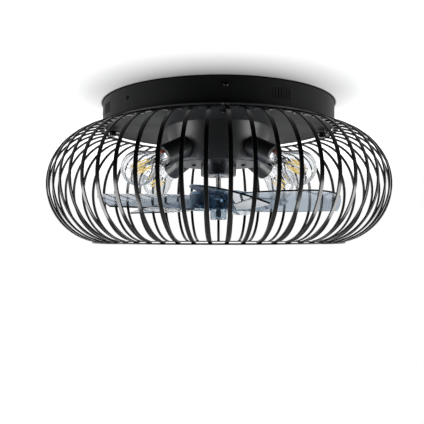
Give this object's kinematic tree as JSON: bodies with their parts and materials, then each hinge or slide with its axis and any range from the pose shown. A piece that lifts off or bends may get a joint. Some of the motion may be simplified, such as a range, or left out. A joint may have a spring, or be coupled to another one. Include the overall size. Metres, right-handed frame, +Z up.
{
  "type": "caged ceiling fan",
  "caption": "Flush-mounted ceiling fan: round canopy, drum with motor, angled globe lamps and a spinning bladed rotor inside an open bowed cage of flat metal strips.",
  "frame": {"origin": "middle of the ceiling plate's top face, on the ceiling", "axes": "+Z up into the ceiling along the rotor's axis, the part hangs along -Z; -Y is the front of the picture"},
  "size_m": [0.5018, 0.5016, 0.2051],
  "materials": {
    "black_metal": "satin",
    "zinc_steel": "satin",
    "bearing_steel": "polished",
    "motor_metal": "satin",
    "core_iron": "matte",
    "copper": "gloss",
    "smoke_plastic": "gloss",
    "clear_plastic": "gloss",
    "bulb_glass": "clear",
    "bulb_cap": "satin",
    "filament": "satin",
    "holder_plastic": "matte",
    "box_plastic": "matte",
    "receiver_plastic": "gloss"
  },
  "bodies": {
    "fan_frame": {"canopy_shell": "black_metal", "drum_housing": "black_metal", "cage_top_ring": "black_metal", "cage_bottom_ring": "black_metal", "cage_strips": "black_metal", "cage_tabs": "black_metal", "motor_screws": "black_metal", "cage_screws": "black_metal", "socket_cover_1": "black_metal", "socket_cover_2": "black_metal", "socket_cover_3": "black_metal", "socket_cover_4": "black_metal", "ceiling_plate": "zinc_steel", "canopy_screws": "zinc_steel", "drum_screws": "zinc_steel", "cage_spacers": "zinc_steel", "cage_nuts": "zinc_steel", "lamp_nipples": "zinc_steel", "upper_bearing": "bearing_steel", "lower_bearing": "bearing_steel", "motor_case": "motor_metal", "motor_lid": "motor_metal", "stator_core": "core_iron", "stator_windings": "copper", "lamp_holder_1": "holder_plastic", "lamp_holder_2": "holder_plastic", "lamp_holder_3": "holder_plastic", "lamp_holder_4": "holder_plastic", "terminal_block": "holder_plastic", "control_box": "box_plastic", "receiver_window": "receiver_plastic"},
    "rotor": {"motor_shaft": "zinc_steel", "rotor_core": "core_iron", "drive_pin": "zinc_steel", "blade_rotor": "smoke_plastic", "lock_nut": "clear_plastic"},
    "bulb_1": {"bulb_glass_1": "bulb_glass", "bulb_cap_1": "bulb_cap", "bulb_filaments_1": "filament"},
    "bulb_2": {"bulb_glass_2": "bulb_glass", "bulb_cap_2": "bulb_cap", "bulb_filaments_2": "filament"},
    "bulb_3": {"bulb_glass_3": "bulb_glass", "bulb_cap_3": "bulb_cap", "bulb_filaments_3": "filament"},
    "bulb_4": {"bulb_glass_4": "bulb_glass", "bulb_cap_4": "bulb_cap", "bulb_filaments_4": "filament"}
  },
  "joints": [
    {"name": "rotor_spin", "type": "hinge", "parent": "fan_frame", "child": "rotor", "pos_m": [0, 0, -0.09], "axis": [0, 0, 1], "continuous": true},
    {"name": "bulb_1_turn", "type": "hinge", "parent": "fan_frame", "child": "bulb_1", "pos_m": [0.10607, 0.10607, -0.1045], "axis": [0.6409, 0.6409, -0.4226], "range_deg": [0, 720]},
    {"name": "bulb_2_turn", "type": "hinge", "parent": "fan_frame", "child": "bulb_2", "pos_m": [-0.10607, 0.10607, -0.1045], "axis": [-0.6409, 0.6409, -0.4226], "range_deg": [0, 720]},
    {"name": "bulb_3_turn", "type": "hinge", "parent": "fan_frame", "child": "bulb_3", "pos_m": [-0.10607, -0.10607, -0.1045], "axis": [-0.6409, -0.6409, -0.4226], "range_deg": [0, 720]},
    {"name": "bulb_4_turn", "type": "hinge", "parent": "fan_frame", "child": "bulb_4", "pos_m": [0.10607, -0.10607, -0.1045], "axis": [0.6409, -0.6409, -0.4226], "range_deg": [0, 720]}
  ]
}
